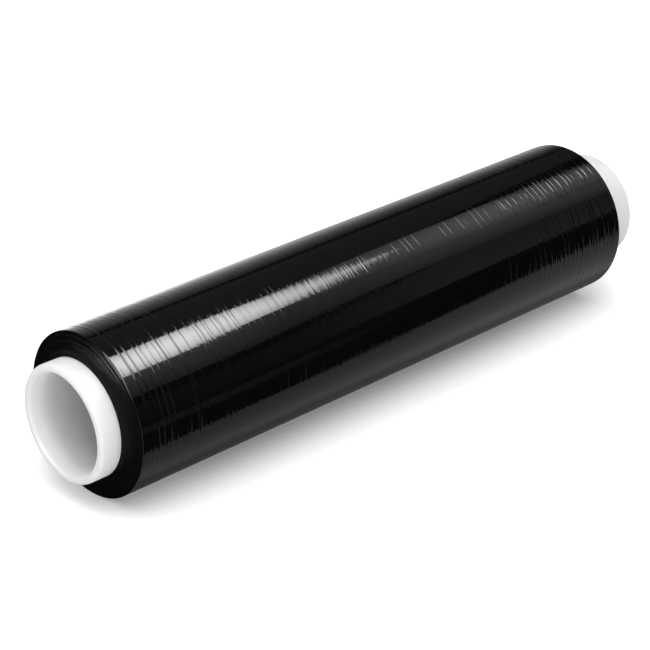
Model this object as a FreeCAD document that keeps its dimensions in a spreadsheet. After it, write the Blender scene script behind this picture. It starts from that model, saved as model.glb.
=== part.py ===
"""A roll of stretch wrap wound on a white plastic core, in millimetres.

The roll stands on one end of its core. +Z runs along the axis of the roll, and the origin is
the middle of the ring that the core stands on.
"""
import FreeCAD, Part
import os
import Sketcher

os.makedirs("parts", exist_ok=True)
doc = FreeCAD.newDocument("stretch_wrap_roll")

# Driving dimensions
SIZES = [
    ("bore_diameter", 76.2, "inside of the core tube, the usual three inch spindle size"),
    ("core_wall", 5.9, "wall of the core tube"),
    ("rim_round", 3.0, "rounding of the core's outer rims"),
    ("bore_lead", 0.8, "bevel at each mouth of the bore"),
    ("wound_depth", 17.5, "film wound on the core, from the core out"),
    ("film_width", 500.0, "width of the wound film"),
    ("foot_overhang", 37.0, "core below the winding's lower corner"),
    ("head_overhang", 21.0, "core above the winding's upper corner"),
    ("face_rise", 4.2, "how far the winding bulges out beside the core"),
    ("film_bevel", 1.0, "bevel that stands for the winding's soft outer corners"),
    ("turn_step", 0.5, "how far a band of turns on an end face stands back from the one inside it"),
    ("crease_first", 9.0, "from the winding's corner to the first crease round it"),
    ("crease_pitch", 8.0, "from the first crease to the next, before the spread"),
    ("crease_spread", 0.8, "how much each further crease stands off"),
    ("crease_width", 1.2, "width of a crease"),
    ("crease_depth", 0.3, "depth of a crease"),
]
TURN_BANDS = 4
CREASES = 4

sheet = doc.addObject("Spreadsheet::Sheet", "sizes")
for row, (alias, value, meaning) in enumerate(SIZES, start=1):
    sheet.set(f"A{row}", alias)
    sheet.set(f"B{row}", str(value))
    sheet.set(f"C{row}", meaning)
    sheet.setAlias(f"B{row}", alias)
doc.recompute()

# Lengths that follow from the driving dimensions, as formulas of the sheet
BORE_RADIUS = "sizes.bore_diameter / 2"
CORE_RADIUS = "(sizes.bore_diameter / 2 + sizes.core_wall)"
FILM_RADIUS = "(sizes.bore_diameter / 2 + sizes.core_wall + sizes.wound_depth)"
FILM_FOOT = "sizes.foot_overhang"
FILM_HEAD = "(sizes.foot_overhang + sizes.film_width)"
CORE_HEAD = "(sizes.foot_overhang + sizes.film_width + sizes.head_overhang)"


def size(alias):
    """One driving dimension as a number."""
    return float(sheet.get(alias))


def new_body(label):
    """A body with a label, and its upright plane that holds the axis."""
    body = doc.addObject("PartDesign::Body", label)
    body.Label = label
    plane = next(f for f in body.Origin.OriginFeatures if f.Role == "XZ_Plane")
    return body, plane


def new_sketch(body, plane, name, outlines):
    """Closed outlines on the upright plane, each corner a pair of formulas (radius, height)."""
    sketch = body.newObject("Sketcher::SketchObject", name)
    sketch.AttachmentSupport = [(plane, "")]
    sketch.MapMode = "FlatFace"
    for corners in outlines:
        first = sketch.GeometryCount
        count = len(corners)
        rough = [FreeCAD.Vector(50 + 10 * (k % 2), 10 * first + 10 * k, 0) for k in range(count)]
        for k in range(count):
            sketch.addGeometry(Part.LineSegment(rough[k], rough[(k + 1) % count]), False)
        for k in range(count):
            following = first + (k + 1) % count
            sketch.addConstraint(Sketcher.Constraint("Coincident", first + k, 2, following, 1))
        for k, (radius, height) in enumerate(corners):
            across = Sketcher.Constraint("DistanceX", -1, 1, first + k, 1, rough[k].x)
            number = sketch.addConstraint(across)
            sketch.setExpression(f"Constraints[{number}]", radius)
            if height == "0":
                sketch.addConstraint(Sketcher.Constraint("PointOnObject", first + k, 1, -1))
            else:
                up = Sketcher.Constraint("DistanceY", -1, 1, first + k, 1, rough[k].y)
                number = sketch.addConstraint(up)
                sketch.setExpression(f"Constraints[{number}]", height)
    return sketch


def turned(body, kind, name, sketch):
    """A full turn of a sketch about the roll's axis, added or cut away."""
    feature = body.newObject(f"PartDesign::{kind}", name)
    feature.Profile = sketch
    feature.ReferenceAxis = (sketch, ["V_Axis"])
    feature.Angle = 360.0
    doc.recompute()
    return feature


def ring_edges(feature, radius, heights):
    """Names of the circular edges of a radius about the axis that lie at one of the heights."""
    names = []
    for number, edge in enumerate(feature.Shape.Edges, start=1):
        curve = edge.Curve
        if not isinstance(curve, Part.Circle) or abs(curve.Radius - radius) > 1e-4:
            continue
        if any(abs(curve.Center.z - height) < 1e-4 for height in heights):
            names.append(f"Edge{number}")
    return names


def core_tube():
    """The tube that the film is wound on, with rounded rims and a bevel at each mouth."""
    body, plane = new_body("core_tube")
    wall = [(BORE_RADIUS, "0"), (CORE_RADIUS, "0"), (CORE_RADIUS, CORE_HEAD), (BORE_RADIUS, CORE_HEAD)]
    sketch = new_sketch(body, plane, "core_wall", [wall])
    tube = turned(body, "Revolution", "core_turned", sketch)

    ends = [0.0, size("foot_overhang") + size("film_width") + size("head_overhang")]
    rims = body.newObject("PartDesign::Fillet", "core_rims")
    rims.Base = (tube, ring_edges(tube, size("bore_diameter") / 2 + size("core_wall"), ends))
    rims.setExpression("Radius", "sizes.rim_round")
    doc.recompute()
    lead = body.newObject("PartDesign::Chamfer", "core_leads")
    lead.Base = (rims, ring_edges(rims, size("bore_diameter") / 2, ends))
    lead.setExpression("Size", "sizes.bore_lead")
    doc.recompute()
    body.Tip = lead
    return body


def end_face(end):
    """The corners of an end face, from the core out: bands of turns that step back outwards."""
    corner, away = (FILM_HEAD, "+") if end == "head" else (FILM_FOOT, "-")
    corners = []
    for band in range(TURN_BANDS):
        inner, outer = band / TURN_BANDS, (band + 1) / TURN_BANDS
        last = band == TURN_BANDS - 1
        lip = "sizes.film_bevel" if last else "0"
        step = "0" if last else "sizes.turn_step"
        for share, inset, proud in ((inner, "0", "0"), (outer, lip, step)):
            radius = f"{CORE_RADIUS} + sizes.wound_depth * {share} - {inset}"
            rise = f"(sizes.face_rise * {1 - share} + {proud})"
            corners.append((radius, f"{corner} {away} {rise}"))
    toward = "-" if end == "head" else "+"
    corners.append((FILM_RADIUS, f"{corner} {toward} sizes.film_bevel"))
    return corners


def crease(end, number):
    """The outline of one crease round the winding, counted from its corner."""
    away = f"(sizes.crease_first + {number} * sizes.crease_pitch + {number * number} * sizes.crease_spread)"
    height = f"{FILM_HEAD} - {away}" if end == "head" else f"{FILM_FOOT} + {away}"
    opened = f"{FILM_RADIUS} + sizes.crease_depth"
    return [(f"{FILM_RADIUS} - sizes.crease_depth", height),
            (opened, f"{height} - sizes.crease_width"),
            (opened, f"{height} + sizes.crease_width")]


def film_winding():
    """All the turns of the film: one solid on the core, with the lines that its turns show."""
    body, plane = new_body("film_winding")
    outline = end_face("foot") + end_face("head")[::-1]
    turned(body, "Revolution", "winding_turned", new_sketch(body, plane, "winding_outline", [outline]))
    creases = [crease(end, number) for end in ("foot", "head") for number in range(CREASES)]
    last = turned(body, "Groove", "winding_creases", new_sketch(body, plane, "crease_lines", creases))
    body.Tip = last
    return body


def check(pieces):
    """Stop if any object failed to rebuild, or a piece isn't one valid solid."""
    for item in doc.Objects:
        if "Invalid" in item.State or "Error" in item.State:
            raise RuntimeError(f"{item.Label} did not rebuild: {item.State}")
    for piece in pieces:
        shape = piece.Shape
        if shape.isNull() or not shape.isValid() or len(shape.Solids) != 1:
            raise RuntimeError(f"{piece.Label} is not one valid solid")


pieces = [core_tube(), film_winding()]
doc.recompute()
check(pieces)
for piece in pieces:
    box = piece.Shape.BoundBox
    print(f"{piece.Label}: {piece.Shape.Volume / 1000:.1f} cm3, {len(piece.Shape.Faces)} faces, "
          f"height {box.ZMin:.1f} to {box.ZMax:.1f}, across {box.XLength:.1f}")
    piece.Shape.exportStep(f"parts/{piece.Label}.step")
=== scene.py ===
# %% [markdown]
# # A roll of stretch wrap
#
# The real object has two pieces: a white plastic core tube, and a long web of glossy black
# film wound on it. The frame already holds both at their real size, standing on one end of
# the core, with +Z along the roll's axis. Here each gets its fine shape and its finish, and
# then a floor, lights and a camera show it lying on its side, as in the picture.

# %% Frame
import math
import bpy
import numpy as np
from mathutils import Matrix, Vector


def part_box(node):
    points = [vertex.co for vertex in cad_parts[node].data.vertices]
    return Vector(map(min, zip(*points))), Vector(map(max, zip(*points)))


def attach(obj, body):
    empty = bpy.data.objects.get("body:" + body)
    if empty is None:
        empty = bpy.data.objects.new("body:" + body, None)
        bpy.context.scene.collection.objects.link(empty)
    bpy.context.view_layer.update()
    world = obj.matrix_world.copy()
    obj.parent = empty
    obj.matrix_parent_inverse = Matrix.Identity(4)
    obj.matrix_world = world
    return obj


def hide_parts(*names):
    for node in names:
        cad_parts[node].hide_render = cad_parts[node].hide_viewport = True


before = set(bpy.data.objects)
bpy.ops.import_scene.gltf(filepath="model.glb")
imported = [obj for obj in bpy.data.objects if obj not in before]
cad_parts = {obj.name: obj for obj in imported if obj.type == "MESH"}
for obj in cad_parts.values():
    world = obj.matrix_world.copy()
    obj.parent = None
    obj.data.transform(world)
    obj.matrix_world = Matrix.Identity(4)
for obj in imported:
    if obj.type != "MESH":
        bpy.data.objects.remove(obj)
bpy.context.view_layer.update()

# %% [markdown]
# ## Sizes
#
# The radii and heights come from the frame, so nothing has to be fitted. Only what the frame's
# boxes can't say is written here: the bore, and how far the winding bulges at its ends.

# %% Sizes from the frame
MM = 0.001
core_low, core_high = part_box("core_tube")
film_low, film_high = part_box("film_winding")
CORE_RADIUS = core_high[0]
FILM_RADIUS = film_high[0]
BORE_RADIUS = 38.1 * MM
FACE_RISE = 4.2 * MM
FILM_FOOT = film_low[2] + FACE_RISE
FILM_HEAD = film_high[2] - FACE_RISE
print(f"core {CORE_RADIUS / MM:.1f} mm, film {FILM_RADIUS / MM:.1f} mm in radius, "
      f"film from {FILM_FOOT / MM:.1f} to {FILM_HEAD / MM:.1f} mm")

# %% [markdown]
# ## Helpers for modelling
#
# Operators act on whatever is selected, so each step first picks the edges it works on by
# where they lie. The mesh is read and written in object mode, between two visits to edit mode.

# %% Helpers for modelling
def coordinates(piece):
    """The piece's vertices as rows of x, y, z."""
    flat = np.empty(len(piece.data.vertices) * 3)
    piece.data.vertices.foreach_get("co", flat)
    return flat.reshape(-1, 3)


def pick_edges(piece, wanted):
    """Go into edit mode with only the edges selected whose two ends pass a test."""
    bpy.ops.object.mode_set(mode="OBJECT")
    bpy.context.tool_settings.mesh_select_mode = (False, True, False)
    mesh = piece.data
    ends = np.empty(len(mesh.edges) * 2, dtype=np.int64)
    mesh.edges.foreach_get("vertices", ends)
    places = coordinates(piece)
    chosen = wanted(places[ends[0::2]], places[ends[1::2]])
    mesh.vertices.foreach_set("select", np.zeros(len(mesh.vertices), dtype=bool))
    mesh.polygons.foreach_set("select", np.zeros(len(mesh.polygons), dtype=bool))
    mesh.edges.foreach_set("select", chosen)
    bpy.ops.object.mode_set(mode="EDIT")


NEAR = 1e-5
SAME = 1e-6


def ring_at(height, radius):
    """A test for the edges of one ring about the axis."""
    def wanted(a, b):
        return ((abs(a[:, 2] - height) < NEAR) & (abs(b[:, 2] - height) < NEAR)
                & (abs(np.hypot(a[:, 0], a[:, 1]) - radius) < NEAR)
                & (abs(np.hypot(b[:, 0], b[:, 1]) - radius) < NEAR))
    return wanted


def upright_between(low, high):
    """A test for the edges that run along the axis inside a stretch of height."""
    def wanted(a, b):
        bottom, top = np.minimum(a[:, 2], b[:, 2]), np.maximum(a[:, 2], b[:, 2])
        return (bottom > low - SAME) & (top < high + SAME) & (top - bottom > SAME)
    return wanted


# %% Helpers for rings of edges
def grow_rings(radius, height, stops):
    """Extrude the selected ring through a row of stops, each a radius and a height."""
    for next_radius, next_height in stops:
        scale = next_radius / radius
        bpy.ops.mesh.extrude_region_move()
        bpy.ops.transform.resize(value=(scale, scale, 1), center_override=(0, 0, 0))
        bpy.ops.transform.translate(value=(0, 0, next_height - height))
        radius, height = next_radius, next_height


def rest_at_origin(piece):
    """Give the mesh its place, leave the object at the origin and point its faces outwards."""
    bpy.ops.object.mode_set(mode="EDIT")
    bpy.ops.mesh.select_all(action="SELECT")
    bpy.ops.mesh.normals_make_consistent(inside=False)
    bpy.ops.object.mode_set(mode="OBJECT")
    bpy.ops.object.transform_apply(location=True, rotation=True, scale=True)


def quarter_round(centre_radius, centre_height, size, steps, direction):
    """Stops round a corner, from the outside wall over to the end face."""
    stops = []
    for step in range(1, steps + 1):
        angle = math.pi / 2 * step / steps
        stops.append((centre_radius + size * math.cos(angle),
                      centre_height + direction * size * math.sin(angle)))
    return stops


# %% [markdown]
# ## The winding's form
#
# Hundreds of turns of film make one smooth drum. Its end faces bulge a little beside the core
# and are slightly bowed, its corners are soft, and its turns show as fine rings on the ends. It
# could be an outline spun round the axis. Here an open cylinder is the start: each rim is
# extruded ring by ring round the corner and in to the core, as one would do it by hand, and the
# two inner rims are bridged, so the winding is a closed shell.

# %% The winding's form
SEGMENTS = 96
CORNER = 1.0 * MM
CORNER_STEPS = 5
FACE_RINGS = 40
FACE_BOW = 0.4 * MM


def end_stops(direction):
    """Stops from the drum's wall round the corner and down the bulged end to the core."""
    corner_height = FILM_HEAD if direction > 0 else FILM_FOOT
    inset = FILM_RADIUS - CORNER
    stops = quarter_round(inset, corner_height - direction * CORNER, CORNER, CORNER_STEPS, direction)
    for ring in range(1, FACE_RINGS + 1):
        share = ring / FACE_RINGS
        radius = inset + (CORE_RADIUS - inset) * share
        rise = FACE_RISE * share + FACE_BOW * 4 * share * (1 - share)
        stops.append((radius, corner_height + direction * rise))
    return stops


def film_drum(wall_low, wall_high):
    """The closed shell of the winding, with its long wall still in one stretch."""
    bpy.ops.object.select_all(action="DESELECT")
    bpy.ops.mesh.primitive_cylinder_add(
        vertices=SEGMENTS, radius=FILM_RADIUS, depth=wall_high - wall_low,
        end_fill_type="NOTHING", location=(0, 0, (wall_low + wall_high) / 2))
    piece = bpy.context.object
    piece.name = "wound_film"
    bpy.ops.object.transform_apply(location=True, rotation=True, scale=True)
    for direction, start in ((1, wall_high), (-1, wall_low)):
        pick_edges(piece, ring_at(start, FILM_RADIUS))
        grow_rings(FILM_RADIUS, start, end_stops(direction))
    inner_low, inner_high = FILM_FOOT - FACE_RISE, FILM_HEAD + FACE_RISE

    def both_inner_rims(a, b):
        return ring_at(inner_low, CORE_RADIUS)(a, b) | ring_at(inner_high, CORE_RADIUS)(a, b)

    pick_edges(piece, both_inner_rims)
    bpy.ops.mesh.bridge_edge_loops()
    return piece


wall_low, wall_high = FILM_FOOT + CORNER, FILM_HEAD - CORNER
film = film_drum(wall_low, wall_high)
print("winding before its rings:", len(film.data.vertices), "vertices")

# %% [markdown]
# ## The winding's rings
#
# On the real roll the creases crowd near both ends, so the wall needs narrow rings there and
# wide ones in the middle. A loop cut would make them by hand, but it needs a window. Here the
# wall is cut into stretches by bisecting it, and the edges along each stretch are subdivided.

# %% The winding's rings
FINE_RING = 0.38 * MM
COARSE_RING = 1.3 * MM
RIDGED_STRETCH = 120 * MM
MOST_CUTS = 100


def divide_wall(piece, stretches):
    """Cut the drum's wall into rings, each stretch (low, high, spacing) at its own spacing."""
    for low, high, spacing in stretches:
        chunks = math.ceil((high - low) / spacing / (MOST_CUTS + 1))
        marks = [low + (high - low) * k / chunks for k in range(chunks + 1)]
        for mark in marks[1:]:
            bpy.ops.mesh.select_all(action="DESELECT")
            pick_edges(piece, lambda a, b: np.hypot(a[:, 0], a[:, 1]) > FILM_RADIUS - NEAR)
            bpy.ops.mesh.select_mode(type="FACE")
            if mark < wall_high - SAME:
                bpy.ops.mesh.bisect(plane_co=(0, 0, mark), plane_no=(0, 0, 1))
        for bottom, top in zip(marks, marks[1:]):
            pick_edges(piece, upright_between(bottom, top))
            bpy.ops.mesh.subdivide(number_cuts=math.ceil((top - bottom) / spacing) - 1)


divide_wall(film, [(wall_low, wall_low + RIDGED_STRETCH, FINE_RING),
                   (wall_low + RIDGED_STRETCH, wall_high - RIDGED_STRETCH, COARSE_RING),
                   (wall_high - RIDGED_STRETCH, wall_high, FINE_RING)])
rest_at_origin(film)
print("winding:", len(film.data.vertices), "vertices,", len(film.data.polygons), "faces")

# %% [markdown]
# ## The relief of the winding
#
# Film is wound under tension, so its edges pile up a little and small creases run round the
# roll, close together near both ends and rare in the middle. They are what breaks up the
# reflections, so they are real relief: the wall's rings are moved out by less than half a
# millimetre. A displacement by noise would scatter them evenly. Here the main ones are placed
# at listed heights, the rest are scattered, and near the foot they pucker along one line.

# %% The creases round the winding
MAIN_CREASES = {
    "head": [10, 15, 22, 26, 31, 40, 52, 60, 67, 75, 80, 84, 92, 104],
    "foot": [7, 14, 19, 28, 33, 38, 46, 52, 56, 63, 68, 73, 79, 84, 90, 98, 105, 112],
}
CREASE_HEIGHT = 0.19 * MM
CREASE_WIDTH = 0.30 * MM
CREASE_WANDER = 0.25 * MM
CREASE_EASE = 2 * MM
STRENGTHS = {"head": (0.5, 0.95), "foot": (0.45, 1.45)}
SHARES = {"head": (1.0, 0.55, 55), "foot": (0.7, 0.3, 60)}
FINE_CREASES = 90
FINE_REACH = 60 * MM
FINE_LIMIT = 240 * MM
PUCKER_ANGLE = math.radians(-121)
PUCKER_SPREAD = 0.1
rng = np.random.default_rng(7)
pucker_rng = np.random.default_rng(11)


def crease_list():
    """Every crease as (height, strength, width, phase, pucker): main ones and scattered fine ones.

    The main ones keep a first share of their strength up to a distance in millimetres from the
    end, and a second share past it. The pucker is how much more a crease stands up at one angle
    round the roll.
    """
    creases = []
    for end, places in MAIN_CREASES.items():
        first_share, second_share, limit = SHARES[end]
        for away in places:
            height = FILM_HEAD - away * MM if end == "head" else FILM_FOOT + away * MM
            strength = rng.uniform(*STRENGTHS[end]) * (second_share if away > limit else first_share)
            pucker = 0.0
            if end == "foot":
                pucker = pucker_rng.uniform(0.5, 1.2) * (1.0 if away > 50 else 1.5)
            creases.append((height, strength, rng.uniform(0.8, 1.0), rng.uniform(0, 6.3), pucker))
    for _ in range(FINE_CREASES):
        away = min(rng.exponential(FINE_REACH), FINE_LIMIT)
        height = FILM_HEAD - away if rng.random() < 0.5 else FILM_FOOT + away
        creases.append((height, rng.uniform(0.03, 0.15), rng.uniform(0.9, 1.6), rng.uniform(0, 6.3), 0.0))
    return creases


creases = crease_list()
print(len(creases), "creases,", len(creases) - FINE_CREASES, "of them placed by hand")

# %% [markdown]
# ## Where the film is creased, loose or puckered
#
# The relief is only half of it. Film that is creased looks duller, film that lies loose
# ripples, and along the line of the puckers even the finest lines stand up. A painted map could
# say where. The places are already known here, so each of the three is stored on the points of
# the mesh as an attribute, while the wall is moved.

# %% Where the film is creased, loose or puckered
# Distances in millimetres from the head, angles in radians
LOOSE_SIDE, LOOSE_SPREAD, LOOSE_REACH = -1.2, 0.35, 110
LOOSE_STRETCHES = [(210, 50, 1.9), (480, 120, 0.9)]
SHARPER_FROM, SHARPER_OVER, SHARPER_MOST = 250, 100, 0.65
PUCKER_FROM, PUCKER_OVER, PUCKER_LINES = 235, 40, 1.8


def how_loose(from_head, angle):
    """How much the film ripples, by the distance from the head: most near it, on one side."""
    one_side = np.exp(-((angle - LOOSE_SIDE) / LOOSE_SPREAD) ** 2)
    loose = 0.5 + (0.6 + 3.0 * one_side) * np.exp(-(from_head / LOOSE_REACH) ** 2)
    for middle, spread, more in LOOSE_STRETCHES:
        loose = loose + more * np.exp(-((from_head - middle) / spread) ** 2)
    return loose


def store(piece, name, values):
    """Keep a number for each point of the mesh as an attribute that a material can read."""
    marks = piece.data.attributes.new(name, "FLOAT", "POINT")
    marks.data.foreach_set("value", values)


def crease_film(piece):
    """Move the wall in and out by its creases and store what the finish needs to know."""
    places = coordinates(piece)
    radius = np.hypot(places[:, 0], places[:, 1])
    angle = np.arctan2(places[:, 1], places[:, 0])
    on_wall = radius > FILM_RADIUS - SAME
    lift, dull = np.zeros(len(places)), np.zeros(len(places))
    puckered = np.exp(-((angle - PUCKER_ANGLE) / PUCKER_SPREAD) ** 2)
    for height, strength, width, phase, pucker in creases:
        fade = 0.78 + 0.22 * np.sin(angle * 2 + phase)
        wander = CREASE_WANDER * np.sin(angle + 1.7 * phase)
        apart = (places[:, 2] - height - wander) / (CREASE_WIDTH * width)
        bell = np.exp(-apart * apart / 2)
        lift += (strength * fade + pucker * puckered) * CREASE_HEIGHT * bell
        dull = np.maximum(dull, strength * fade * bell)
    away = np.minimum(places[:, 2] - wall_low, wall_high - places[:, 2])
    ease = np.clip(away / CREASE_EASE, 0, 1)
    factor = 1 + np.where(on_wall, lift * ease, 0) / np.maximum(radius, SAME)
    places[:, 0] *= factor
    places[:, 1] *= factor
    piece.data.vertices.foreach_set("co", places.ravel())
    from_head = (FILM_HEAD - places[:, 2]) / MM
    sharper = np.clip((from_head - SHARPER_FROM) / SHARPER_OVER, 0, SHARPER_MOST)
    store(piece, "crease", np.where(on_wall, dull * ease * (1 - sharper), 0))
    store(piece, "rippled", how_loose(from_head, angle))
    beyond = np.clip((from_head - PUCKER_FROM) / PUCKER_OVER, 0, 1)
    store(piece, "puckered", PUCKER_LINES * puckered * beyond)
    piece.data.update()
    print(f"creases lift the film by up to {lift.max() / MM:.3f} mm")


crease_film(film)

# %% [markdown]
# ## The turns on the end faces
#
# Each end face is the edge of every turn. No two bands of turns lie quite level, so the rings of
# the face are raised and lowered by hundredths of a millimetre, and drift a little on their way
# round. It could all be bump, but then the outline of the face would be too smooth. Bump is kept
# for the finest rings, which the finish adds.

# %% The turns on the end faces
TURN_STEP = 0.03 * MM
MARGIN = 0.1 * MM


def step_faces(piece):
    """Raise and lower the rings of both end faces by small uneven steps, and tell their polygons."""
    places = coordinates(piece)
    radius = np.hypot(places[:, 0], places[:, 1])
    angle = np.arctan2(places[:, 1], places[:, 0])
    inset = FILM_RADIUS - CORNER
    number = np.rint((inset - radius) / (inset - CORE_RADIUS) * FACE_RINGS).astype(int)
    for direction in (1, -1):
        steps = rng.uniform(-1, 1, FACE_RINGS + 1)
        steps[[0, -1]] = 0
        drift = rng.uniform(0, 2 * math.pi, FACE_RINGS + 1)
        face = FILM_HEAD if direction > 0 else FILM_FOOT
        on_face = ((places[:, 2] - face) * direction > -SAME) & (number > 0) & (number <= FACE_RINGS)
        ring = np.clip(number, 0, FACE_RINGS)
        level = steps[ring] * (0.75 + 0.25 * np.sin(angle + drift[ring]))
        places[:, 2] += np.where(on_face, direction * TURN_STEP * level, 0)
    piece.data.vertices.foreach_set("co", places.ravel())
    piece.data.update()
    middles = np.empty(len(piece.data.polygons) * 3)
    piece.data.polygons.foreach_get("center", middles)
    middles = middles.reshape(-1, 3)
    reach = np.hypot(middles[:, 0], middles[:, 1])
    past = np.maximum(middles[:, 2] - FILM_HEAD, FILM_FOOT - middles[:, 2])
    return (reach < inset) & (reach > CORE_RADIUS + MARGIN) & (past > -MARGIN)


on_end_faces = step_faces(film)
print("end faces:", int(on_end_faces.sum()), "polygons")

# %% [markdown]
# ## The core tube
#
# The core is an extruded plastic tube with a thick wall. Its outer rims are well rounded and
# the edge of its bore is softly round. A tube with a bevel on its edges would round all of them
# alike. So an open cylinder is the start again: each rim is extruded round and down into the
# bore, and the two rings inside are bridged to make the wall of the bore.

# %% The core tube
CORE_SEGMENTS = 128
RIM_ROUND = 3.0 * MM
RIM_STEPS = 8
MOUTH_ACROSS = 1.6 * MM
MOUTH_DOWN = 3.2 * MM
MOUTH_STEPS = 8
BORE_RINGS = 24


def rim_stops(direction):
    """Stops over one rim of the core, from its outer wall into the bore."""
    end_height = core_high[2] if direction > 0 else core_low[2]
    stops = quarter_round(CORE_RADIUS - RIM_ROUND, end_height - direction * RIM_ROUND,
                          RIM_ROUND, RIM_STEPS, direction)
    for step in range(MOUTH_STEPS + 1):
        angle = math.pi / 2 * step / MOUTH_STEPS
        stops.append((BORE_RADIUS + MOUTH_ACROSS * (1 - math.sin(angle)),
                      end_height - direction * MOUTH_DOWN * (1 - math.cos(angle))))
    return stops


def core_tube_form():
    """The whole tube as one closed shell."""
    low, high = core_low[2] + RIM_ROUND, core_high[2] - RIM_ROUND
    bpy.ops.object.select_all(action="DESELECT")
    bpy.ops.mesh.primitive_cylinder_add(
        vertices=CORE_SEGMENTS, radius=CORE_RADIUS, depth=high - low,
        end_fill_type="NOTHING", location=(0, 0, (low + high) / 2))
    piece = bpy.context.object
    piece.name = "plastic_core"
    bpy.ops.object.transform_apply(location=True, rotation=True, scale=True)
    for direction, start in ((1, high), (-1, low)):
        pick_edges(piece, ring_at(start, CORE_RADIUS))
        grow_rings(CORE_RADIUS, start, rim_stops(direction))
    bore_low, bore_high = core_low[2] + MOUTH_DOWN, core_high[2] - MOUTH_DOWN

    def both_bore_rims(a, b):
        return ring_at(bore_low, BORE_RADIUS)(a, b) | ring_at(bore_high, BORE_RADIUS)(a, b)

    pick_edges(piece, both_bore_rims)
    bpy.ops.mesh.bridge_edge_loops()
    pick_edges(piece, upright_between(bore_low, bore_high))
    bpy.ops.mesh.subdivide(number_cuts=BORE_RINGS)
    rest_at_origin(piece)
    return piece


core = core_tube_form()
print("core:", len(core.data.vertices), "vertices")

# %% [markdown]
# ## Smooth shading
#
# Film and plastic are both smooth to the touch, and their corners are already rounded in the
# meshes. Smooth shading by angle hides the facets and leaves the inner rims of the winding
# crisp. Smooth shading of every edge would smear them.

# %% Smooth shading
SMOOTH_ANGLE = math.radians(50)
for piece in (film, core):
    bpy.ops.object.select_all(action="DESELECT")
    piece.select_set(True)
    bpy.context.view_layer.objects.active = piece
    bpy.ops.object.shade_smooth_by_angle(angle=SMOOTH_ANGLE)
    print(piece.name, "is shaded smooth,", len(piece.data.polygons), "faces")

# %% [markdown]
# ## Materials
#
# A few helpers keep the node trees short to read. Film and core both come off a roller or out
# of a nozzle, so the unevenness of both is stretched round the roll or along it. Each material
# could hold its own noise. It is a node group here, built once and placed in each material with
# its own values.

# %% Helpers for materials
def new_material(name):
    """A material with its Principled shader, its nodes and its links."""
    material = bpy.data.materials.new(name)
    material.use_nodes = True
    tree = material.node_tree
    shader = next(n for n in tree.nodes if n.type == "BSDF_PRINCIPLED")
    return material, tree, shader


def add(tree, kind, **values):
    """A node with some of its properties and inputs set."""
    node = tree.nodes.new(kind)
    for name, value in values.items():
        if name in node.inputs:
            node.inputs[name].default_value = value
        else:
            setattr(node, name, value)
    return node


# %% Helpers that calculate in a material
def remap(tree, value, low, high, to_low, to_high):
    """A value moved from one range to another, clamped."""
    node = add(tree, "ShaderNodeMapRange", clamp=True)
    for name, number in (("From Min", low), ("From Max", high), ("To Min", to_low), ("To Max", to_high)):
        node.inputs[name].default_value = number
    tree.links.new(value, node.inputs["Value"])
    return node.outputs["Result"]


def calculate(tree, operation, *values):
    """The result of a calculation with sockets and plain numbers."""
    node = add(tree, "ShaderNodeMath", operation=operation)
    for socket, value in zip(node.inputs, values):
        if isinstance(value, (int, float)):
            socket.default_value = value
        else:
            tree.links.new(value, socket)
    return node.outputs[0]


def object_place(tree):
    """The place of a point in the object's own frame, as its X, Y and Z."""
    apart = add(tree, "ShaderNodeSeparateXYZ")
    tree.links.new(add(tree, "ShaderNodeTexCoord").outputs["Object"], apart.inputs["Vector"])
    return apart.outputs


def length_of(tree, **parts):
    """The length of a vector whose X, Y or Z are sockets; those left out are nought."""
    vector = add(tree, "ShaderNodeCombineXYZ")
    for name, socket in parts.items():
        tree.links.new(socket, vector.inputs[name])
    length = add(tree, "ShaderNodeVectorMath", operation="LENGTH")
    tree.links.new(vector.outputs["Vector"], length.inputs[0])
    return length.outputs["Value"]


def bumped(tree, shader, height, distance, strength=1.0):
    """Let a height show as bump."""
    bump = add(tree, "ShaderNodeBump", Strength=strength, Distance=distance)
    tree.links.new(height, bump.inputs["Height"])
    tree.links.new(bump.outputs["Normal"], shader.inputs["Normal"])


# %% A node group of stretched noise
def stretched_noise_group():
    """A node group of noise that is stretched round the roll or along it."""
    group = bpy.data.node_groups.new("stretched_noise", "ShaderNodeTree")
    for name, kind in (("Place", "NodeSocketVector"), ("Stretch", "NodeSocketVector"),
                       ("Detail", "NodeSocketFloat"), ("Roughness", "NodeSocketFloat")):
        group.interface.new_socket(name=name, in_out="INPUT", socket_type=kind)
    group.interface.new_socket(name="Noise", in_out="OUTPUT", socket_type="NodeSocketFloat")
    given = add(group, "NodeGroupInput")
    result = add(group, "NodeGroupOutput")
    stretched = add(group, "ShaderNodeVectorMath", operation="MULTIPLY")
    noise = add(group, "ShaderNodeTexNoise", Scale=1.0)
    group.links.new(given.outputs["Place"], stretched.inputs[0])
    group.links.new(given.outputs["Stretch"], stretched.inputs[1])
    group.links.new(stretched.outputs["Vector"], noise.inputs["Vector"])
    group.links.new(given.outputs["Detail"], noise.inputs["Detail"])
    group.links.new(given.outputs["Roughness"], noise.inputs["Roughness"])
    group.links.new(noise.outputs["Fac"], result.inputs["Noise"])
    return group


NOISE_GROUP = stretched_noise_group()


def stretched_noise(tree, across, along, detail, rough):
    """The noise group in a material, on object coordinates and with the material's own values."""
    place = add(tree, "ShaderNodeTexCoord")
    noise = add(tree, "ShaderNodeGroup", node_tree=NOISE_GROUP,
                Stretch=(across, across, along), Detail=detail, Roughness=rough)
    tree.links.new(place.outputs["Object"], noise.inputs["Place"])
    return noise.outputs["Noise"]


print("node group:", NOISE_GROUP.name)

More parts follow.
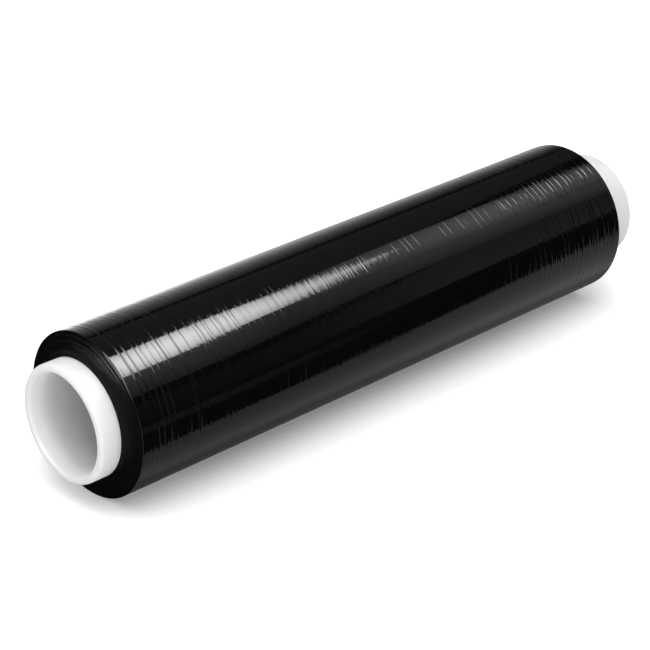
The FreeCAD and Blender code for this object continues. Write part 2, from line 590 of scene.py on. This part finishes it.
# %% [markdown]
# ## The film's finish
#
# Stretch film is clear plastic with so much black in it that what is seen of it is its gloss.
# That gloss is sharp between the creases and dull on them. A picture of scratches could give the
# fine lines, but they run round the roll at uneven distances and fade out, so they are made from
# cells along the axis, and are bump.

# %% The fine lines of the film
LINES_PER_METRE = 170.0
CALM_MIDDLE = 100 * MM


def lines_round(tree):
    """Thin lines round the roll, at uneven distances, that come and go on their way."""
    height = object_place(tree)["Z"]
    wander = remap(tree, stretched_noise(tree, 9.0, 30.0, 1.0, 0.5), 0.3, 0.7, 0.0, 0.2)
    along = calculate(tree, "MULTIPLY_ADD", height, LINES_PER_METRE, wander)
    cells = add(tree, "ShaderNodeTexVoronoi", voronoi_dimensions="1D", feature="DISTANCE_TO_EDGE")
    cells.inputs["Scale"].default_value = 1.0
    tree.links.new(along, cells.inputs["W"])
    line = remap(tree, cells.outputs["Distance"], 0.0, 0.05, 1.0, 0.0)
    fade = remap(tree, stretched_noise(tree, 22.0, 90.0, 1.0, 0.5), 0.42, 0.62, 0.0, 1.0)
    in_middle = calculate(tree, "COMPARE", height, (FILM_FOOT + FILM_HEAD) / 2, CALM_MIDDLE)
    ends = remap(tree, in_middle, 0.0, 1.0, 1.0, 0.35)
    puckered = add(tree, "ShaderNodeAttribute", attribute_name="puckered").outputs["Fac"]
    strength = calculate(tree, "MULTIPLY", fade, calculate(tree, "MAXIMUM", ends, puckered))
    return calculate(tree, "MULTIPLY", line, strength)


# %% The film's finish
LINE_HEIGHT = 0.9


def film_material():
    """Glossy black film, duller on its creases."""
    material, tree, shader = new_material("black_film")
    shader.inputs["Base Color"].default_value = (0.0015, 0.0015, 0.0014, 1)
    shader.inputs["IOR"].default_value = 1.5
    creased = add(tree, "ShaderNodeAttribute", attribute_name="crease").outputs["Fac"]
    lines = lines_round(tree)
    dull = calculate(tree, "MAXIMUM", creased, remap(tree, lines, 0.0, 1.0, 0.0, 0.6))
    rough = remap(tree, dull, 0.0, 0.8, 0.055, 0.3)
    tree.links.new(rough, shader.inputs["Roughness"])
    loose = add(tree, "ShaderNodeAttribute", attribute_name="rippled").outputs["Fac"]
    rippled = calculate(tree, "MULTIPLY", stretched_noise(tree, 8.0, 380.0, 3.0, 0.6), loose)
    relief = calculate(tree, "MULTIPLY_ADD", lines, LINE_HEIGHT, rippled)
    bumped(tree, shader, relief, 0.06 * MM)
    print(material.name, "has", len(tree.nodes), "nodes")
    return material


# %% [markdown]
# ## The film's cut edges
#
# On an end face the light meets hundreds of cut edges and not the smooth side of the film. They
# are black and nearly matt, but groups of turns that lie level shine together, as rings. Modelled
# turns would be far too many, so the rings are noise over the radius that drifts a little with
# the place.

# %% The film's cut edges
RINGS_PER_METRE = 750.0
RING_START = 3.6
RING_DRIFT = 14.0


def turn_lines(tree):
    """Uneven rings on an end face, one for every few turns, that drift on their way round."""
    place = object_place(tree)
    radius = length_of(tree, X=place["X"], Y=place["Y"])
    spot = add(tree, "ShaderNodeCombineXYZ")
    for name in ("X", "Y"):
        tree.links.new(calculate(tree, "MULTIPLY", place[name], RING_DRIFT), spot.inputs[name])
    across = calculate(tree, "MULTIPLY_ADD", radius, RINGS_PER_METRE, RING_START)
    tree.links.new(across, spot.inputs["Z"])
    noise = add(tree, "ShaderNodeTexNoise", Scale=1.0, Detail=3.0, Roughness=0.65)
    tree.links.new(spot.outputs["Vector"], noise.inputs["Vector"])
    return noise.outputs["Fac"]


def turn_edge_material():
    """The cut edges of the film's turns: black, nearly matt and finely ringed."""
    material, tree, shader = new_material("film_edges")
    shader.inputs["Base Color"].default_value = (0.003, 0.003, 0.003, 1)
    shader.inputs["Specular IOR Level"].default_value = 0.07
    lines = turn_lines(tree)
    tree.links.new(remap(tree, lines, 0.38, 0.62, 0.12, 0.42), shader.inputs["Roughness"])
    bumped(tree, shader, lines, 0.3 * MM)
    print(material.name, "has", len(tree.nodes), "nodes")
    return material


# %% [markdown]
# ## The core's plastic
#
# White plastic of this thickness lets light through. Inside its free ends the tube glows with
# the light that falls on it from outside, and deeper in the black film behind the wall swallows
# that light, so the bore looks greyer there. Real transmission could show it, but is slow and
# noisy. Subsurface scattering softens the shading, and the rest is painted into the colour: a
# painted glow just inside the free ends, and painted shade deeper in the bore under the film.

# %% The colour of the core's plastic, with painted glow and painted shade
# Painted light in the bore: a lighter colour for painted glow inside the free ends, a greyer one for painted
# shade under the film
PAINTED_GLOW_COLOUR = (0.8, 0.802, 0.804, 1)
PLAIN_COLOUR = (0.7, 0.702, 0.704, 1)
PAINTED_SHADE_COLOUR = (0.65, 0.652, 0.654, 1)
PAINTED_GLOW_REACH = 8 * MM
PAINTED_SHADE_REACH = 30 * MM
SKIN = 1 * MM


def mixed(tree, share, first, second):
    """A colour between two, each a socket or a plain colour."""
    node = add(tree, "ShaderNodeMix", data_type="RGBA")
    tree.links.new(share, node.inputs["Factor"])
    for socket, colour in ((node.inputs[6], first), (node.inputs[7], second)):
        if isinstance(colour, tuple):
            socket.default_value = colour
        else:
            tree.links.new(colour, socket)
    return node.outputs[2]


def core_colour_with_painted_light(tree):
    """Painted glow just inside the free ends of the tube, and painted shade where film covers it."""
    place = object_place(tree)
    above_foot = calculate(tree, "SUBTRACT", place["Z"], film_low[2])
    below_head = calculate(tree, "SUBTRACT", film_high[2], place["Z"])
    depth = calculate(tree, "MINIMUM", above_foot, below_head)
    radius = length_of(tree, X=place["X"], Y=place["Y"])
    inside = remap(tree, radius, BORE_RADIUS, BORE_RADIUS + SKIN, 1.0, 0.0)
    by_the_mouth = remap(tree, depth, -PAINTED_GLOW_REACH, 0.0, 1.0, 0.0)
    free = calculate(tree, "MULTIPLY", inside, by_the_mouth)
    covered = remap(tree, depth, 0.0, PAINTED_SHADE_REACH, 0.0, 1.0)
    # Painted glow by the mouth, then painted shade deeper under the film
    ends = mixed(tree, free, PLAIN_COLOUR, PAINTED_GLOW_COLOUR)
    return mixed(tree, covered, ends, PAINTED_SHADE_COLOUR)


# %% The finish of the core's plastic
LIGHT_REACH = (15 * MM, 14.5 * MM, 14 * MM)


def core_material():
    """White plastic with a satin skin that lets light in."""
    material, tree, shader = new_material("white_core_plastic")
    # The base colour carries painted glow at the free ends and painted shade under the film
    tree.links.new(core_colour_with_painted_light(tree), shader.inputs["Base Color"])
    shader.inputs["Subsurface Weight"].default_value = 0.8
    shader.inputs["Subsurface Radius"].default_value = LIGHT_REACH
    shader.inputs["Subsurface Scale"].default_value = 1.0
    grain = stretched_noise(tree, 300.0, 60.0, 4.0, 0.6)
    rough = remap(tree, grain, 0.3, 0.7, 0.34, 0.46)
    tree.links.new(rough, shader.inputs["Roughness"])
    bumped(tree, shader, grain, 0.05 * MM, strength=0.3)
    print(material.name, "has", len(tree.nodes), "nodes")
    return material


# %% [markdown]
# ## Pieces take their places
#
# Neither piece of the real roll moves on the other, so both ride on the root body. Each takes
# the place of the frame's solid of the same kind. The winding has two finishes, so its end
# faces point to a second material instead of being cut off as pieces of their own.

# %% Pieces take their places
for piece, material, node, slot in ((film, film_material(), "film_winding", "film"),
                                    (core, core_material(), "core_tube", "core_plastic")):
    piece.data.materials.clear()
    piece.data.materials.append(material)
    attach(piece, "root")
    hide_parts(node)
film.data.materials.append(turn_edge_material())
film.data.polygons.foreach_set("material_index", on_end_faces.astype(np.int32))
film.data.update()
print("pieces:", film.name, "and", core.name)

# %% [markdown]
# ## Camera
#
# The picture shows the roll on its side, so the camera is turned with it. It could be placed by
# eye. Here its place is worked out from how the roll lies in the camera's own view: where the
# middle of the near end is, and which way the axis runs from there. The floor is level in that
# view.

# %% Camera
PICTURE = 650
FOCAL_PIXELS = 2093.3
SENSOR = 36.0
HEAD_CENTRE_SEEN = Vector((-164.48, -62.22, -1440.69)) * MM
AXIS_AWAY_SEEN = Vector((0.7252, 0.3066, -0.6165)).normalized()

floor_up_seen = AXIS_AWAY_SEEN.cross(Vector((-1, 0, 0))).normalized()
if floor_up_seen.y < 0:
    floor_up_seen.negate()
roll_z = -AXIS_AWAY_SEEN
roll_y = -floor_up_seen
roll_x = roll_y.cross(roll_z)
to_seen = Matrix((roll_x, roll_y, roll_z)).transposed()
origin_seen = HEAD_CENTRE_SEEN - roll_z * FILM_HEAD
camera_place = to_seen.transposed() @ -origin_seen
print("the roll's head is", round(HEAD_CENTRE_SEEN.length, 3), "m from the camera")

# %% Camera in its place
camera_data = bpy.data.cameras.new("picture_camera")
camera_data.sensor_width = SENSOR
camera_data.lens = FOCAL_PIXELS / PICTURE * SENSOR
camera_data.clip_end = 50
camera = bpy.data.objects.new("picture_camera", camera_data)
camera.matrix_world = Matrix.Translation(camera_place) @ to_seen.transposed().to_4x4()
bpy.context.scene.collection.objects.link(camera)
bpy.context.scene.camera = camera
print("camera at", [round(v, 3) for v in camera_place])

# %% [markdown]
# ## Floor
#
# The picture shows the roll on plain white ground, so a plane touches it along its side. Seen
# from behind the plane is clear, so that the roll can be looked at from every side. Hiding it
# would take the roll's shadow away too.

# %% Floor
FLOOR_SIZE = 12.0
bpy.ops.object.select_all(action="DESELECT")
bpy.ops.mesh.primitive_plane_add(
    size=FLOOR_SIZE, location=(0, FILM_RADIUS, 0), rotation=(math.pi / 2, 0, 0))
floor = bpy.context.object
floor.name = "pale_floor"
bpy.ops.object.transform_apply(location=True, rotation=True, scale=True)
print(floor.name, "touches the roll", round(FILM_RADIUS / MM, 1), "mm below its axis")

# %% [markdown]
# ## The floor's finish
#
# In the picture the ground is lit until it turns white, and only the shadow of the roll stays
# grey. A strong light would do that, and would spoil the light on the core. So the plane is
# matt and has painted light: it glows a little of itself for the camera alone, more the further
# it lies from the roll, which paints the fading edge of the roll's shadow.

# %% The floor's finish
PALE = (0.81, 0.81, 0.81, 1)
SHADOW_HALF = 0.24
# Each a stretch in metres, the painted glow where it starts and the painted glow past it
AWAY_FROM_ROLL = (0.03, 0.33, 0.0, 0.5)
BESIDE_ROLL = (0.025, 0.035, 0.12, 0.19)
BY_THE_ENDS = (0.15, SHADOW_HALF, 0.0, 0.06)


def floor_material():
    """White to the camera where nothing shades it, partly by painted light, and clear from behind.

    The distance is the one from the line where the roll touches the floor, and it grows faster
    beyond the ends of the shadow. The painted glow grows with it, and steps up beside the roll and
    by the shadow's ends, where it paints light into the roll's shadow.
    """
    material, tree, shader = new_material("pale_floor")
    output = next(n for n in tree.nodes if n.type == "OUTPUT_MATERIAL")
    shader.inputs["Base Color"].default_value = PALE
    shader.inputs["Roughness"].default_value = 1.0
    shader.inputs["Specular IOR Level"].default_value = 0.0
    place = object_place(tree)
    middle = (FILM_FOOT + FILM_HEAD) / 2
    from_middle = calculate(tree, "ABSOLUTE", calculate(tree, "SUBTRACT", place["Z"], middle))
    far = remap(tree, from_middle, SHADOW_HALF, FLOOR_SIZE / 2, 0.0, 20.0)
    distance = length_of(tree, X=place["X"], Z=far)
    # Painted light: a camera-only glow that lightens the floor away from the roll, painting the edge of its
    # shadow
    painted_floor_glow = remap(tree, distance, *AWAY_FROM_ROLL)
    for value, stretch in ((distance, BESIDE_ROLL), (from_middle, BY_THE_ENDS)):
        painted_floor_glow = calculate(tree, "ADD", painted_floor_glow, remap(tree, value, *stretch))
    seen = add(tree, "ShaderNodeLightPath").outputs["Is Camera Ray"]
    shader.inputs["Emission Color"].default_value = (1, 1, 1, 1)
    tree.links.new(calculate(tree, "MULTIPLY", seen, painted_floor_glow), shader.inputs["Emission Strength"])
    clear = add(tree, "ShaderNodeBsdfTransparent")
    side = add(tree, "ShaderNodeNewGeometry")
    mix = add(tree, "ShaderNodeMixShader")
    tree.links.new(side.outputs["Backfacing"], mix.inputs["Fac"])
    tree.links.new(shader.outputs["BSDF"], mix.inputs[1])
    tree.links.new(clear.outputs["BSDF"], mix.inputs[2])
    tree.links.new(mix.outputs["Shader"], output.inputs["Surface"])
    print(material.name, "has", len(tree.nodes), "nodes")
    return material


floor.data.materials.append(floor_material())
floor.visible_glossy = False

# %% [markdown]
# ## Cards that the film mirrors
#
# Black film shows little of its own colour: what is seen is what it mirrors. In a studio each
# bright or dark band on it is a card or a light, and is placed by watching its reflection. The
# same is done here. A place on the film is named by its angle round the roll, counted from the
# top towards the camera, and its distance from the near end, and the card's corner goes where
# the camera's ray goes that mirrors there. Only glossy rays see the cards.

# %% Where the film mirrors
REACH = 1.2
UP = Vector((0, -1, 0))
TOWARDS = Vector((camera_place.x, 0, 0)).normalized()


def mirrored_place(angle, distance, tilt=0.0, reach=REACH):
    """Where the camera's ray goes that mirrors at a place on the film, tilted to the near end."""
    turn, lean = math.radians(angle), math.radians(tilt)
    outward = UP * math.cos(turn) + TOWARDS * math.sin(turn)
    normal = outward * math.cos(lean) + Vector((0, 0, 1)) * math.sin(lean)
    spot = outward * FILM_RADIUS + Vector((0, 0, FILM_HEAD - distance * MM))
    ray = (spot - camera_place).normalized()
    away = ray - 2 * ray.dot(normal) * normal
    return spot + away * reach


def on_wall(angle, distance):
    """For a card that the wall mirrors."""
    return mirrored_place(angle, distance)


def on_wall_nearer(angle, distance):
    """For a card in front of the others that the wall mirrors."""
    return mirrored_place(angle, distance, reach=REACH * 0.96)


def on_corner(angle, tilt):
    """For a card that the near corner or end face mirrors, where the film tilts to the head."""
    return mirrored_place(angle, 0, tilt, REACH * 1.1)


def on_corner_nearer(angle, tilt):
    """For a card in front of the others that the near corner mirrors."""
    return mirrored_place(angle, 0, tilt, REACH * 1.05)


print("the middle of the wall's near end mirrors",
      [round(v, 2) for v in mirrored_place(0, 0)])

# %% [markdown]
# ## What a card is
#
# A card in a studio is a lit board, often brighter at one side. It could be an area light, but
# that has one strength all over. So each card is a strip of mesh that holds its own glow at
# every point, and one material reads it.

# %% The glow of the cards
def card_material():
    """A glow whose strength each card holds in an attribute."""
    material, tree, shader = new_material("card_glow")
    output = next(n for n in tree.nodes if n.type == "OUTPUT_MATERIAL")
    mark = add(tree, "ShaderNodeAttribute", attribute_name="glow")
    glow = add(tree, "ShaderNodeEmission")
    tree.links.new(mark.outputs["Fac"], glow.inputs["Strength"])
    tree.links.new(glow.outputs["Emission"], output.inputs["Surface"])
    print(material.name, "has", len(tree.nodes), "nodes")
    return material


glow_material = card_material()


# %% A card through its stops
def card(name, stops, place_at, across=8, along=4, bulge=0.0):
    """A glowing card through stops: a distance, two angles and the glow at each of them.

    The bulge is how much more its middle glows than its two long borders.
    """
    rows = []
    for first, second in zip(stops, stops[1:]):
        shares = [k / along for k in range(along)]
        rows += [[a + (b - a) * share for a, b in zip(first, second)] for share in shares]
    rows.append(list(stops[-1]))
    places, glows, faces = [], [], []
    for distance, top, bottom, glow_top, glow_bottom in rows:
        for k in range(across + 1):
            places.append(place_at(top + (bottom - top) * k / across, distance))
            share = k / across
            middle = 1 + bulge * 4 * share * (1 - share)
            glows.append((glow_top + (glow_bottom - glow_top) * share) * middle)
    for row in range(len(rows) - 1):
        for k in range(across):
            corner = row * (across + 1) + k
            faces.append((corner, corner + 1, corner + across + 2, corner + across + 1))
    mesh = bpy.data.meshes.new(name)
    mesh.from_pydata(places, [], faces)
    marks = mesh.attributes.new("glow", "FLOAT", "POINT")
    marks.data.foreach_set("value", glows)
    mesh.materials.append(glow_material)
    piece = bpy.data.objects.new(name, mesh)
    bpy.context.scene.collection.objects.link(piece)
    piece.visible_camera = False
    piece.visible_diffuse = False
    piece.visible_shadow = False
    piece.visible_transmission = False
    piece.visible_volume_scatter = False
    print(name, "has", len(faces), "faces and glows up to", round(max(glows), 2))


# %% [markdown]
# ## Cards above and behind
#
# These make the grey of the roll's back, the wide bright band of the main light and the dimmer
# band that goes on from it to the foot. One large board could give a band too, but its edges
# would all be alike, so each band has its own card.

# %% Cards above and behind
card("back_card", [(-80, -34, -18, 1.9, 1.85), (60, -34, -18, 1.85, 1.75), (120, -34, -18, 1.6, 1.05),
                   (180, -34, -18, 1.0, 0.75), (250, -34, -18, 0.55, 0.62), (560, -34, -18, 0.5, 0.62)],
     on_wall)
card("back_low_card", [(-80, -18, -8, 1.15, 0.6), (60, -18, -8, 1.1, 0.5), (250, -18, -8, 0.62, 0.27),
                       (560, -18, -8, 0.55, 0.2)], on_wall)
card("back_edge_card", [(-80, -8, 4.8, 0.6, 0.14), (60, -8, 3.6, 0.5, 0.08), (250, -8, 1.4, 0.27, 0.05),
                        (500, -8, -1.4, 0.2, 0.04), (560, -8, -2.0, 0.2, 0.04)], on_wall)
card("ceiling_card", [(-80, 7.4, 27, 0.12, 0.12), (100, 5.5, 27, 0.11, 0.11), (295, 3.4, 25, 0.08, 0.1),
                      (500, 1.2, 15, 0.07, 0.09), (560, 0.6, 13, 0.07, 0.09)], on_wall)
card("main_light", [(-80, 27.2, 43.6, 7.6, 7.6), (55, 27.1, 42.8, 7.6, 7.6), (100, 27.2, 41.1, 6.8, 6.8),
                    (150, 28.5, 40.1, 5.0, 5.0), (190, 29.7, 37.8, 4.1, 4.1), (220, 31.3, 35.5, 3.3, 3.3),
                    (245, 31.8, 33.5, 2.9, 2.9), (255, 32, 32.6, 2.6, 2.6)], on_wall_nearer, bulge=1.0)
card("dim_card", [(150, 26.8, 43, 0.4, 0.3), (240, 25.4, 43, 0.45, 0.33), (300, 25.0, 43, 0.5, 0.42),
                  (400, 24.9, 43, 0.56, 0.55), (485, 25.0, 43, 0.48, 0.4),
                  (500, 25.0, 43, 0.4, 0.28), (860, 25.0, 43, 0.35, 0.2)], on_wall, across=12, bulge=1.2)

# %% [markdown]
# ## Cards below
#
# Below the bright band the film mirrors dim things near the floor, and lowest of all the pale
# floor itself. The real floor could be mirrored, but the plane here is brighter to the camera
# than it should be in the film, so cards stand in for it.

# %% Cards below
card("under_light_card", [(-80, 43.5, 57.8, 0.75, 0.2), (100, 42, 56.5, 0.6, 0.2), (150, 41, 55, 0.36, 0.16),
                          (200, 43, 53.2, 0.36, 0.2), (270, 43, 52, 0.5, 0.24), (500, 43, 52, 0.6, 0.2),
                          (560, 43, 52, 0.6, 0.2), (860, 43, 52, 0.4, 0.15)], on_wall)
card("low_card", [(-80, 63, 76, 0.05, 0.03), (100, 62, 74, 0.05, 0.03), (200, 57, 71.5, 0.1, 0.07),
                  (300, 52, 69.5, 0.16, 0.18), (500, 52, 67, 0.15, 0.2), (560, 52, 66, 0.15, 0.2)], on_wall)
card("streak_card", [(-80, 77.5, 82, 0.1, 0.1), (100, 77, 81.5, 0.09, 0.08), (200, 74, 78.5, 0.06, 0.06),
                     (260, 71, 76, 0.03, 0.0)], on_wall)
card("floor_card", [(-300, 88, 114, 0.24, 0.33), (-80, 95.8, 114, 0.24, 0.33), (0, 95.3, 114, 0.26, 0.33),
                    (200, 92.7, 114, 0.29, 0.36), (500, 84.5, 114, 0.38, 0.5),
                    (560, 82, 114, 0.38, 0.5), (860, 72, 114, 0.38, 0.5)], on_wall)
card("floor_edge_card", [(-300, 114, 124, 0.3, 0.1), (200, 114, 124, 0.33, 0.11),
                         (560, 114, 124, 0.48, 0.16), (860, 114, 124, 0.48, 0.16)], on_wall)
card("under_edge_card", [(-80, 124, 145, 0.1, 0.05), (560, 124, 145, 0.16, 0.08)], on_wall)

# %% [markdown]
# ## Cards for the corner and the end face
#
# The soft corner shows as a thin bright line, and the turns of the end face shine in one place
# beside the core. Both could come from the main light's card, if it reached that far round; a
# small card for each leaves the wall's bands alone.

# %% Cards for the corner and the end face
card("corner_card", [(8, -30, 130, 0.35, 0.5), (36, -30, 130, 0.3, 0.45)], on_corner, across=24)
card("corner_light", [(6, 24, 46, 8, 8), (50, 20, 60, 1.5, 1.5)], on_corner_nearer)
card("face_sheen_card", [(75, 25, 43, 34, 34), (88, 26, 42, 34, 34)], on_corner)

# %% [markdown]
# ## Lights
#
# One wide soft light above the roll shades the white plastic and lays the soft shadow on the
# floor, and a weak one beside the near end lights its rim and the mouth of the bore. Sun lamps
# would lay hard shadows that the picture doesn't have.

# %% Lights
def soft_light(name, place, target, size, power):
    """A square area light that looks at a target and isn't mirrored by the film."""
    data = bpy.data.lights.new(name, "AREA")
    data.shape = "SQUARE"
    data.size = size
    data.energy = power
    lamp = bpy.data.objects.new(name, data)
    lamp.location = place
    lamp.rotation_mode = "QUATERNION"
    lamp.rotation_quaternion = (Vector(target) - Vector(place)).to_track_quat("-Z", "Y")
    lamp.visible_glossy = False
    lamp.visible_camera = False
    bpy.context.scene.collection.objects.link(lamp)
    print(name, "of", power, "watts at", [round(v, 2) for v in lamp.location])


MIDDLE = Vector((0, 0, (FILM_FOOT + FILM_HEAD) / 2))
soft_light("overhead_light", MIDDLE + UP * 1.6 + TOWARDS * 0.2 + Vector((0, 0, 0.35)), MIDDLE, 1.5, 20.5)
HEAD = Vector((0, 0, core_high[2]))
soft_light("near_end_light", HEAD + UP * 0.3 + TOWARDS * 1.1 + Vector((0, 0, 0.55)), HEAD, 0.6, 3.5)

# %% [markdown]
# ## Surroundings
#
# A studio's pale walls fill the shadows, but black film would mirror them as one grey veil. So
# the surroundings light the scene, are nearly dark to glossy rays and are pale grey to the
# camera, which sees them only from other sides. One even background could be only one of the
# three.

# %% Surroundings
FILL, MIRRORED, BACKGROUND = 0.7, 0.012, 1.0


def world_light():
    """Even light all round, nearly dark where it is mirrored, and pale to the camera."""
    world = bpy.data.worlds.new("pale_surroundings")
    bpy.context.scene.world = world
    world.use_nodes = True
    tree = world.node_tree
    output = next(n for n in tree.nodes if n.type == "OUTPUT_WORLD")
    path = add(tree, "ShaderNodeLightPath")
    fill = next(n for n in tree.nodes if n.type == "BACKGROUND")
    fill.inputs["Color"].default_value = (1, 1, 1, 1)
    fill.inputs["Strength"].default_value = FILL
    dark = add(tree, "ShaderNodeBackground", Strength=MIRRORED)
    pale = add(tree, "ShaderNodeBackground", Strength=BACKGROUND)
    mirrored = add(tree, "ShaderNodeMixShader")
    seen = add(tree, "ShaderNodeMixShader")
    tree.links.new(path.outputs["Is Glossy Ray"], mirrored.inputs["Fac"])
    tree.links.new(fill.outputs["Background"], mirrored.inputs[1])
    tree.links.new(dark.outputs["Background"], mirrored.inputs[2])
    tree.links.new(path.outputs["Is Camera Ray"], seen.inputs["Fac"])
    tree.links.new(mirrored.outputs["Shader"], seen.inputs[1])
    tree.links.new(pale.outputs["Background"], seen.inputs[2])
    tree.links.new(seen.outputs["Shader"], output.inputs["Surface"])


world_light()
print("surroundings:", bpy.context.scene.world.name)

# %% [markdown]
# ## Colours as they are
#
# The picture has plain white ground and clear blacks. A filmic look would grey both, so the
# standard one is used.

# %% Colours as they are
bpy.context.scene.view_settings.view_transform = "Standard"
print("view transform:", bpy.context.scene.view_settings.view_transform)
